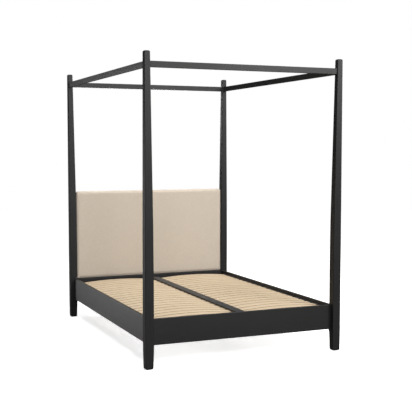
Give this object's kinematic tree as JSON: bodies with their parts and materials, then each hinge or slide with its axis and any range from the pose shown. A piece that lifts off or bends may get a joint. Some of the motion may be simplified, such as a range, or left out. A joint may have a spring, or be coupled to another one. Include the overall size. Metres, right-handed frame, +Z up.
{
  "type": "four poster bed",
  "caption": "Four poster bed: tapered square posts, slim open canopy rails, upholstered headboard panel and a bowed slat base with a centre beam and leg.",
  "frame": {"origin": "on the floor, under the centre of the four posts", "axes": "+Z up, +Y towards the head end, +X to the right seen from the foot end"},
  "size_m": [1.49, 2.055, 2.1],
  "materials": {
    "black_paint": "satin black lacquer on hardwood, faint grain",
    "linen": "natural linen weave, matt",
    "back_cloth": "black spun dust cloth",
    "plywood": "raw plywood",
    "birch": "pale birch veneer, satin",
    "beech": "raw fluted beech",
    "black_plastic": "black moulded plastic",
    "zinc_steel": "bright zinc plated",
    "brass": "turned brass",
    "felt": "dark felt"
  },
  "bodies": {
    "bed_frame": {"batten_screws": "zinc_steel", "bracket_screws": "zinc_steel", "canopy_cam_locks": "zinc_steel", "canopy_cam_pins": "zinc_steel", "canopy_dowels": "beech", "canopy_foot_rail": "black_paint", "canopy_head_rail": "black_paint", "canopy_left_rail": "black_paint", "canopy_right_rail": "black_paint", "centre_beam": "black_paint", "centre_beam_hangers": "zinc_steel", "centre_leg": "black_paint", "centre_leg_insert": "brass", "centre_leg_plate": "zinc_steel", "centre_slat_holders": "black_plastic", "fastener_plate_screws": "zinc_steel", "foot_left_post": "black_paint", "foot_rail": "black_paint", "foot_right_post": "black_paint", "head_left_post": "black_paint", "head_rail": "black_paint", "head_right_post": "black_paint", "headboard_back_cloth": "back_cloth", "headboard_batten": "black_paint", "headboard_board": "plywood", "headboard_dowels": "beech", "headboard_pad": "linen", "left_side_rail": "black_paint", "left_slat_ledger": "black_paint", "post_glides": "felt", "post_socket_plates": "zinc_steel", "rail_hook_plates": "zinc_steel", "right_side_rail": "black_paint", "right_slat_ledger": "black_paint", "side_slat_holders": "black_plastic", "slat_row_01": "birch", "slat_row_02": "birch", "slat_row_03": "birch", "slat_row_04": "birch", "slat_row_05": "birch", "slat_row_06": "birch", "slat_row_07": "birch", "slat_row_08": "birch", "slat_row_09": "birch", "slat_row_10": "birch", "slat_row_11": "birch", "slat_row_12": "birch", "slat_row_13": "birch", "slat_row_14": "birch", "slat_row_15": "birch", "slat_row_16": "birch", "slat_row_17": "birch", "slat_row_18": "birch", "slat_row_19": "birch", "slat_row_20": "birch"},
    "levelling_foot": {"levelling_foot": "zinc_steel"}
  },
  "joints": [
    {"name": "levelling_foot_slide", "type": "slide", "parent": "bed_frame", "child": "levelling_foot", "axis": [0, 0, 1], "range_m": [-0.01, 0.015]}
  ]
}
